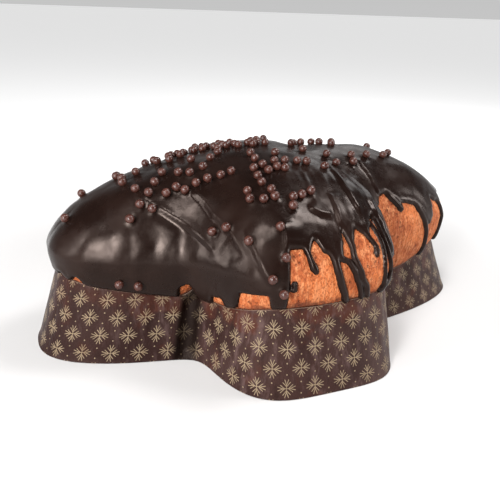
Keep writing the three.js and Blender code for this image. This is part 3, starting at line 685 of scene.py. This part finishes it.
def make_glaze(pearls):
    """The upper and lower points of the sheet, the faces of its upper side, and the two points at the crown."""
    angles = even_angles(GLAZE_COLUMNS, lambda angle: 1 + CLOSER * window(np.degrees(angle), *CLOSE_PART))
    levels, strides = [], []
    for low, high, rows, stride in GLAZE_BANDS:
        levels += list(np.linspace(low, high, rows, endpoint=False))
        strides += [stride] * rows
    levels.append(GLAZE_BANDS[-1][1])
    strides.append(1)
    rows, columns = len(levels), GLAZE_COLUMNS
    A, L = np.meshgrid(angles, levels)
    inside = inside_glaze(A, L, skin(A, L))

    # bring the points nearest the edge onto it
    down, across = np.gradient(inside)
    steep = down ** 2 + across ** 2
    shift = np.where(steep > 1e-6, -inside / np.maximum(steep, 1e-6), 0)
    snap = (abs(shift * down) < 0.5) & (abs(shift * across) < 0.5) & (L > 0.5)
    column_step = (np.roll(A, -1, 1) - np.roll(A, 1, 1)) / 2 % math.pi
    A = np.where(snap, A + shift * across * column_step, A)
    L = np.where(snap, L + shift * down * np.gradient(L, axis=0), L)
    inside = np.where(snap, 0.0, inside)

    points, out = skin(A, L), skin_normal(A, L)
    top = points + out * glaze_height(inside, points, pearls)[..., None]
    under = points - out * UNDER

    # whole cells of the sheet, on the grid of points
    kept = inside > EDGE_CUT
    index = np.arange(rows * columns).reshape(rows, columns)
    faces = []
    for j, (a, b) in enumerate(zip(strides, strides[1:])):
        k = np.arange(0, columns, a)
        after = (k + a) % columns
        if a == b:
            whole = kept[j, k] & kept[j, after] & kept[j + 1, k] & kept[j + 1, after]
            faces += [(index[j, c], *index[j + 1, [c, d]], index[j, d]) for c, d in zip(k[whole], after[whole])]
        else:  # the next band has twice the columns
            half = (k + b) % columns
            faces += [(index[j, c], *index[j + 1, [c, h, d]], index[j, d]) for c, h, d in zip(k, half, after)]
    k = np.arange(0, columns, strides[0])
    faces += [(rows * columns, index[0, c], index[0, d]) for c, d in zip(k, (k + strides[0]) % columns)]
    crown = skin(0.0, 0.0)
    return top, under, faces, (crown + [0, 0, GLAZE], crown - [0, 0, UNDER])


def close_sheet(name, top, under, faces, crowns):
    """A closed body from the upper sheet's faces and the same faces below, stitched at their open edges."""
    count = top.shape[0] * top.shape[1] + 1
    points = np.concatenate([top.reshape(-1, 3), [crowns[0]], under.reshape(-1, 3), [crowns[1]]])
    lower = [tuple(v + count for v in reversed(f)) for f in faces]
    edges = {}
    for f in faces:
        for a, b in zip(f, (*f[1:], f[0])):
            if (b, a) in edges:
                del edges[(b, a)]
            else:
                edges[(a, b)] = True
    sides = [(b, a, a + count, b + count) for a, b in edges]
    everything = list(faces) + lower + sides
    used = np.unique(np.concatenate([np.array(f) for f in everything]))
    place = np.full(len(points), -1)
    place[used] = np.arange(len(used))
    return make_piece(name, points[used], [tuple(int(place[v]) for v in f) for f in everything])


# ---- finishes
def add_node(tree, kind, settings=None, inputs=None):
    """A node with its settings, and with values or links for its inputs."""
    node = tree.nodes.new(kind)
    for key, value in (settings or {}).items():
        setattr(node, key, value)
    for key, value in (inputs or {}).items():
        feed(tree, node.inputs[key], value)
    return node


def feed(tree, socket, value):
    value = getattr(value, "socket", value)
    if isinstance(value, bpy.types.NodeSocket):
        tree.links.new(value, socket)
    else:
        socket.default_value = (*value, 1) if socket.type == "RGBA" else value


class Varied:
    """A socket that varies over a surface, with arithmetic."""

    def __init__(self, finish, socket):
        self.finish, self.socket = finish, socket

    def maths(self, operation, *others):
        return self.finish.node("Math", {"operation": operation}, dict(enumerate([self, *others])))

    __add__ = lambda self, other: self.maths("ADD", other)
    __mul__ = lambda self, other: self.maths("MULTIPLY", other)
    __sub__ = lambda self, other: self.maths("SUBTRACT", other)
    __truediv__ = lambda self, other: self.maths("DIVIDE", other)
    __pow__ = lambda self, other: self.maths("POWER", other)
    __abs__ = lambda self: self.maths("ABSOLUTE")

    least = lambda self, other: self.maths("MINIMUM", other)
    most = lambda self, other: self.maths("MAXIMUM", other)

    def between(self, low, high, start=0.0, end=1.0):
        """Eases from start to end as the value goes from low to high."""
        return self.finish.node(
            "MapRange", {"interpolation_type": "SMOOTHSTEP"},
            {"Value": self, "From Min": low, "From Max": high, "To Min": start, "To Max": end})


class Finish:
    """A material and its nodes."""

    def __init__(self, name):
        self.material = bpy.data.materials.new(name)
        self.material.use_nodes = True
        self.tree = self.material.node_tree

    def set(self, **values):
        shader = self.tree.nodes["Principled BSDF"]
        for key, value in values.items():
            feed(self.tree, shader.inputs[key.replace("_", " ")], value)

    def node(self, kind, settings=None, inputs=None, output=0):
        return Varied(self, add_node(self.tree, "ShaderNode" + kind, settings, inputs).outputs[output])

    def place(self):
        return self.node("TexCoord", output="Object")

    def attribute(self, name):
        return self.node("Attribute", {"attribute_name": name}, output="Fac")

    def split(self, vector):
        """The first two coordinates of a vector."""
        first = self.node("SeparateXYZ", {}, {0: vector})
        return first, Varied(self, first.socket.node.outputs[1])

    def pattern(self, kind, size, seed, stretch=(1, 1, 1), **inputs):
        """A texture with parts of that size in metres."""
        scale = tuple(s / size for s in stretch)
        spot = self.node("Mapping", {}, {"Vector": self.place(), "Location": seed, "Scale": scale})
        return self.node(kind, {}, {"Vector": spot, "Scale": 1.0, **inputs})

    def noise(self, size, detail=3.0, roughness=0.5, seed=(0, 0, 0), stretch=(1, 1, 1)):
        """Noise about 0 to 1, with lumps of that size in metres."""
        return self.pattern("TexNoise", size, seed, stretch, Detail=detail, Roughness=roughness)

    def mix(self, amount, a, b):
        """From colour a to colour b: the sockets of a Mix node that are for colours."""
        return self.node("Mix", {"data_type": "RGBA"}, {0: amount, 6: a, 7: b}, output=2)

    def layered(self, colour, layers):
        """A colour under further ones, each with its amount."""
        for amount, over in layers:
            colour = self.mix(amount, colour, over)
        return colour

    def bump(self, height, distance, strength=1.0):
        return self.node("Bump", {}, {"Height": height, "Distance": distance, "Strength": strength})


CHOCOLATE_DARK, CHOCOLATE_LIGHT = (0.007, 0.0032, 0.0024), (0.0115, 0.0053, 0.0039)
CRUST_GOLDEN, CRUST_BROWN = (0.55, 0.15, 0.041), (0.34, 0.076, 0.019)
CRUST_PALE, CRUST_DARK, CRUST_CRUMB = (0.62, 0.235, 0.095), (0.20, 0.042, 0.012), (0.19, 0.040, 0.011)
CRUST_PORE_SHADE, CRUST_RIM, CRUST_SCORCH = (0.12, 0.032, 0.012), (0.16, 0.036, 0.012), (0.085, 0.019, 0.007)
PAPER_DARK, PAPER_LIGHT, PAPER_EDGE = (0.021, 0.009, 0.008), (0.038, 0.018, 0.0155), (0.13, 0.08, 0.06)
PAPER_STAIN, PAPER_CREASE_HIGHLIGHT, PAPER_HOLLOW_SHADE = (0.06, 0.017, 0.01), (0.105, 0.065, 0.06), (0.014, 0.0062, 0.0052)
# painted light on the paper: shade towards the tail, a sheen on the front wing, and shade over grease in the corner
# channels
PAPER_TAIL_SHADE, PAPER_WING_SHEEN, PAPER_CORNER_SHADE_AND_GREASE = (0.016, 0.0062, 0.0054), (0.11, 0.072, 0.066), (0.004, 0.0018, 0.0012)
INK_LIGHT, INK_DARK, INK_STAIN = (0.26, 0.195, 0.125), (0.19, 0.14, 0.088), (0.13, 0.07, 0.04)
PEARL_DARK, PEARL_LIGHT = (0.042, 0.0125, 0.0085), (0.074, 0.024, 0.0165)
FLOOR_NEAR, FLOOR_FAR = (0.57, 0.56, 0.556), (0.6, 0.6, 0.6)
GLOW_NEAR, GLOW_FAR = (0.1, 0.098, 0.097), (0.62, 0.62, 0.62)
FLOOR_FADES = (0.18, 0.5)  # metres from the cake between which the floor turns white


def chocolate_finish():
    f = Finish("set_dark_chocolate")
    cloudy = f.noise(0.03)
    fine = f.noise(0.006, seed=(3, 1, 2))
    waves = f.noise(0.022, 2, 0.4, (5, 2, 1)) + f.noise(0.007, 2, 0.4, (1, 7, 3)) * 0.22
    f.set(
        Base_Color=f.mix(cloudy.between(0.3, 0.7), CHOCOLATE_DARK, CHOCOLATE_LIGHT),
        Roughness=cloudy.between(0.3, 0.75, 0.22, 0.36) + fine.between(0.35, 0.7, -0.03, 0.05),
        Normal=f.bump(waves, 0.0012, 0.6),
        IOR=1.45,
        Specular_IOR_Level=0.23,
        Specular_Tint=(1, 0.8, 0.71),
    )
    return f.material


def crust_finish():
    f = Finish("baked_crust_skin")
    patches = f.noise(0.02, 3, 0.55)
    streaks = f.noise(0.0026, 3, 0.65, (2, 2, 5), (1, 1, 0.22))
    crumbs = f.noise(0.001, 2, 0.6, (1, 9, 4), (1, 1, 0.6))
    # the pores: dented by the bump, with painted shade in them
    deep = f.pattern("TexVoronoi", 0.003, (4, 4, 4)).between(0.1, 0.3, 1.0, 0.0) * patches.between(0.45, 0.65)
    above = f.attribute("above_rim")
    scorch = (f.noise(0.006, 3, 0.6, (7, 3, 1)) - above.between(0.5, 9.0, 0.0, 0.4)).between(0.36, 0.56)
    f.set(
        Base_Color=f.layered(CRUST_GOLDEN, [
            (patches.between(0.32, 0.66), CRUST_BROWN),
            (streaks.between(0.44, 0.64) * 0.75, CRUST_PALE),
            (streaks.between(0.3, 0.45, 1.0, 0.0) * 0.65, CRUST_DARK),
            (crumbs.between(0.46, 0.66) * 0.65, CRUST_CRUMB),
            (deep * 0.6, CRUST_PORE_SHADE),
            (above.between(0.5, 5.0, 0.4, 0.0), CRUST_RIM),
            (scorch * 0.75, CRUST_SCORCH),
        ]),
        Roughness=crumbs.between(0.3, 0.7, 0.6, 0.8),
        Normal=f.bump(streaks * 0.8 + crumbs * 0.5 - deep * 0.8, 0.0016),
        IOR=1.4,
        Specular_IOR_Level=0.35,
    )
    return f.material


STAR_ACROSS, STAR_UP = 0.01675, 0.022  # spacing of the printed stars
STAR_SHIFT_UP = 0.0045
STAR_STROKE = 0.00044
STAR_LINES = [((0, 0), (0.0024, 0)), ((0.0019, 0), (0.0050, 0.00105)), ((0.0011, 0), (0.0035, 0.0021))]
DOT_RADIUS, DOT_BLUR, DOT_UP = 0.00034, 0.0005, 0.0032


def stroke(x, y, start, end):
    """1 within half a stroke's width of the line between two points of a plane."""
    (x0, y0), (x1, y1) = start, end
    dx, dy = x1 - x0, y1 - y0
    along = ((x - x0) * dx + (y - y0) * dy) / (dx * dx + dy * dy)
    along = along.most(0.0).least(1.0)
    away = ((x - x0 - along * dx) ** 2 + (y - y0 - along * dy) ** 2) ** 0.5
    return away.between(STAR_STROKE * 0.4, STAR_STROKE * 0.6, 1.0, 0.0)


def star_print(f):
    """Forked starbursts on a lattice of rhombuses, with two dots in each gap."""
    u, v = f.split(f.node("UVMap", {"uv_map": "sheet"}))
    p, q = u / STAR_ACROSS, (v + STAR_SHIFT_UP) / STAR_UP
    s, t = p + q, p - q
    length = lambda x, y: (x * x + y * y) ** 0.5
    on_sheet = lambda ds, dt: ((ds + dt) * (STAR_ACROSS / 2), (ds - dt) * (STAR_UP / 2))
    x, y = on_sheet(s - s.maths("ROUND"), t - t.maths("ROUND"))
    out, turn = length(x, y), y.maths("ARCTAN2", x)
    folded = abs((turn + math.pi / 4).maths("WRAP", math.pi / 2, 0.0) - math.pi / 4)
    a, b = out * folded.maths("COSINE"), out * folded.maths("SINE")
    first, *others = [stroke(a, b, *line) for line in STAR_LINES]
    for other in others:
        first = first.most(other)
    x, y = on_sheet(s - s.maths("FLOOR") - 0.5, t - t.maths("FLOOR") - 0.5)
    return first.most(length(x, abs(y) - DOT_UP).between(DOT_RADIUS, DOT_BLUR, 1.0, 0.0))


def paper_finish():
    f = Finish("printed_baking_paper")
    worn = f.noise(0.004, 3, 0.6, (6, 1, 1))
    cloud = f.noise(0.03, seed=(1, 2, 3))
    fibres = f.noise(0.0011, 2, 0.6, (8, 8, 2))
    creased = f.noise(0.0065, 4, 0.68, (3, 8, 1), (1, 1, 0.28))
    below = f.attribute("below_rim")
    stain = (f.noise(0.014, seed=(2, 5, 9)) + below.between(0.0, 22.0, 0.22, 0.0)).between(0.58, 0.76)
    # painted shade over grease in the channels where the paper turns in: there the ground turns almost black, the
    # print fades and the paper is smoother
    dark = f.attribute("from_corner").between(4.5, 10.0, 1.0, 0.0)
    x, y = f.split(f.place())
    ground = f.layered(PAPER_DARK, [
        (cloud.between(0.3, 0.7), PAPER_LIGHT),
        (stain * 0.75, PAPER_STAIN),
        # painted highlight on the crests of the creases and painted shade in their hollows, over the bump that raises
        # them
        (creased.between(0.5, 0.72) * 0.6, PAPER_CREASE_HIGHLIGHT),
        (creased.between(0.3, 0.46, 1.0, 0.0) * 0.65, PAPER_HOLLOW_SHADE),
        # painted shade: the paper darker towards the tail end, where the dough hangs over it
        (x.between(-0.13, -0.05, 0.55, 0.0), PAPER_TAIL_SHADE),
        # painted sheen: the paper lighter on the front of the front wing, right of the middle
        (x.between(0.0, 0.05) * y.between(-0.09, -0.06, 0.4, 0.0), PAPER_WING_SHEEN),
        (dark * 0.95, PAPER_CORNER_SHADE_AND_GREASE),
    ])
    ink = f.layered(INK_LIGHT, [(worn.between(0.3, 0.7), INK_DARK), (stain * 0.35, INK_STAIN)])
    strength = star_print(f) * worn.between(0.2, 0.5, 0.75, 1.0) * (dark * -0.8 + 1)
    f.set(
        Base_Color=f.layered(ground, [(strength, ink), (below.between(0.1, 0.35, 1.0, 0.0), PAPER_EDGE)]),
        Roughness=cloud.between(0.3, 0.7, 0.44, 0.58) - stain * 0.08 - dark * 0.1,
        Normal=f.bump(fibres * 0.4 + cloud + creased * 1.6, 0.0008, 0.6),
        IOR=1.4,
        Specular_IOR_Level=0.2,
        Specular_Tint=(1, 0.78, 0.68),
    )
    return f.material


def pearl_finish():
    f = Finish("chocolate_pearl_shell")
    cloud = f.noise(0.0032, 3, 0.6)
    f.set(
        Base_Color=f.mix(cloud.between(0.3, 0.7), PEARL_DARK, PEARL_LIGHT),
        Roughness=cloud.between(0.3, 0.7, 0.22, 0.36),
        Normal=f.bump(cloud, 0.0003, 0.4),
        IOR=1.48,
    )
    return f.material


def floor_finish():
    f = Finish("pale_floor")
    far = f.node("VectorMath", {"operation": "LENGTH"}, {0: f.place()}, output="Value").between(*FLOOR_FADES)
    f.set(
        Base_Color=f.mix(far, FLOOR_NEAR, FLOOR_FAR),
        Roughness=0.9,
        Specular_IOR_Level=0.0,
        Emission_Color=f.mix(far, GLOW_NEAR, GLOW_FAR),
        Emission_Strength=1.0,
    )
    return f.material


# ---- the pearls, by Geometry Nodes
def pearl_tree(material):
    tree = bpy.data.node_groups.new("strew_pearls", "GeometryNodeTree")
    face = tree.interface
    face.new_socket("Places", in_out="INPUT", socket_type="NodeSocketGeometry")
    measures = {"Radius": PEARL_RADIUS * MM, "Unevenness": 0.07, "Fineness": 3, "Seed": 5}
    for name, value in measures.items():
        kind = "NodeSocketInt" if isinstance(value, int) else "NodeSocketFloat"
        face.new_socket(name, in_out="INPUT", socket_type=kind).default_value = value
    face.new_socket("Pearls", in_out="OUTPUT", socket_type="NodeSocketGeometry")

    node = lambda kind, inputs, settings=None: add_node(tree, kind, settings, inputs).outputs
    given = node("NodeGroupInput", {})
    radius, uneven, fineness, seed = (given[name] for name in measures)
    ball = node("GeometryNodeMeshIcoSphere", {"Radius": radius, "Subdivisions": fineness})
    soft = node("GeometryNodeSetShadeSmooth", {"Geometry": ball["Mesh"]})
    points = node("GeometryNodeMeshToPoints", {"Mesh": given["Places"]})
    vectors = {"data_type": "FLOAT_VECTOR"}
    turn = node("FunctionNodeRandomValue", {0: (0, 0, 0), 1: (TURN, TURN, TURN), "Seed": seed}, vectors)
    least = node("ShaderNodeMath", {0: 1.0, 1: uneven}, {"operation": "SUBTRACT"})
    size = node("FunctionNodeRandomValue", {0: least[0], 1: (1, 1, 1), "Seed": seed}, vectors)
    laid = {"Points": points[0], "Instance": soft[0], "Rotation": turn[0], "Scale": size[0]}
    laid = node("GeometryNodeInstanceOnPoints", laid)
    real = node("GeometryNodeRealizeInstances", {"Geometry": laid[0]})
    finish = node("GeometryNodeSetMaterial", {"Geometry": real[0], "Material": material})
    node("NodeGroupOutput", {"Pearls": finish[0]})
    return tree


def make_pearls(centres, material):
    """The pearls as the nodes leave them, in one plain mesh at the origin."""
    places = make_piece("pearl_places", centres, [])
    places.modifiers.new("strew", "NODES").node_group = pearl_tree(material)
    view = bpy.context.evaluated_depsgraph_get()
    mesh = bpy.data.meshes.new_from_object(places.evaluated_get(view))
    mesh.name = "chocolate_pearls"
    pearls = bpy.data.objects.new("chocolate_pearls", mesh)
    bpy.context.scene.collection.objects.link(pearls)
    bpy.data.objects.remove(places)
    return pearls


# ---- light and floor
SUN_WATTS, SUN_ANGLE, SUN_TOWARDS = 0.4, 50, (0.35, 0.25, -1)
ROOM_GLOW = {"From Min": -0.02, "From Max": 0.5, "To Min": 0.56, "To Max": 0.07}  # brighter towards the horizon
SOFTBOXES = [  # name, place, aim, size and watts
    ("front_left_box", (-0.72, -0.66, 0.34), (-0.08, 0, 0.06), (0.36, 0.60), 5.2),
    ("front_left_core", (-0.68, -0.63, 0.42), (-0.08, 0, 0.06), (0.16, 0.30), 6),
    ("left_box", (-0.94, -0.10, 0.46), (-0.05, -0.03, 0.06), (0.16, 0.60), 5.0),
    ("top_left_box", (-0.36, -0.28, 1.02), (-0.05, 0, 0.08), (0.2, 0.2), 3.5),
    ("top_right_box", (0.55, -0.03, 0.98), (0, 0, 0.08), (0.3, 0.4), 7.5),
    ("back_right_box", (0.66, 0.66, 0.60), (0, 0, 0.08), (0.45, 0.4), 1.0),
    ("right_box", (0.85, -0.45, 0.35), (0.05, 0, 0.05), (0.25, 0.4), 4.5),
]
FLOOR_HALF_SIDE = 30000.0


def hang(light, towards, place=(0, 0, 0)):
    """Puts a light in its place, shining that way."""
    held = bpy.data.objects.new(light.name, light)
    held.location = place
    held.rotation_euler = Vector(towards).to_track_quat("-Z", "Y").to_euler()
    bpy.context.scene.collection.objects.link(held)


def light_the_table():
    world = bpy.data.worlds.new("white_room")
    bpy.context.scene.world = world
    world.use_nodes = True
    tree = world.node_tree
    sky = tree.nodes["Background"]
    towards = add_node(tree, "ShaderNodeTexCoord").outputs["Generated"]
    height = add_node(tree, "ShaderNodeSeparateXYZ", {}, {0: towards}).outputs["Z"]
    glow = {"Value": height, **ROOM_GLOW}
    glow = add_node(tree, "ShaderNodeMapRange", {"interpolation_type": "SMOOTHSTEP"}, glow).outputs[0]
    feed(tree, sky.inputs["Color"], (1, 1, 1))
    feed(tree, sky.inputs["Strength"], glow)
    sun = bpy.data.lights.new("even_light", "SUN")
    sun.energy, sun.angle = SUN_WATTS, math.radians(SUN_ANGLE)
    hang(sun, SUN_TOWARDS)
    for name, place, aim, size, watts in SOFTBOXES:
        light = bpy.data.lights.new(name, "AREA")
        light.shape, (light.size, light.size_y), light.energy = "RECTANGLE", size, watts
        hang(light, Vector(aim) - Vector(place), place)
    corners = np.array([(-1, -1, 0), (1, -1, 0), (1, 1, 0), (-1, 1, 0)])
    floor = make_piece("floor", corners * FLOOR_HALF_SIDE, [(0, 1, 2, 3)])
    floor.data.materials.append(floor_finish())
    bpy.context.scene.view_settings.view_transform = "Standard"


# ---- putting it together
def dress(piece, node, material):
    piece.data.materials.clear()
    piece.data.materials.append(material)
    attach(piece, "root")
    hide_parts(node)


places = pearl_places()
pearl_feet = skin(places[:, 0], places[:, 1])
pearl_out = skin_normal(places[:, 0], places[:, 1])
pearl_centres = pearl_feet + pearl_out * (GLAZE + fold_height(pearl_feet) + PEARL_RADIUS - PEARL_SUNK)[:, None]

dress(make_case(), "paper_case", paper_finish())
dress(make_loaf(), "loaf", crust_finish())
dress(close_sheet("poured_glaze", *make_glaze(pearl_feet)), "glaze", chocolate_finish())
pearl_material = pearl_finish()
dress(make_pearls(pearl_centres, pearl_material), "glaze", pearl_material)
light_the_table()
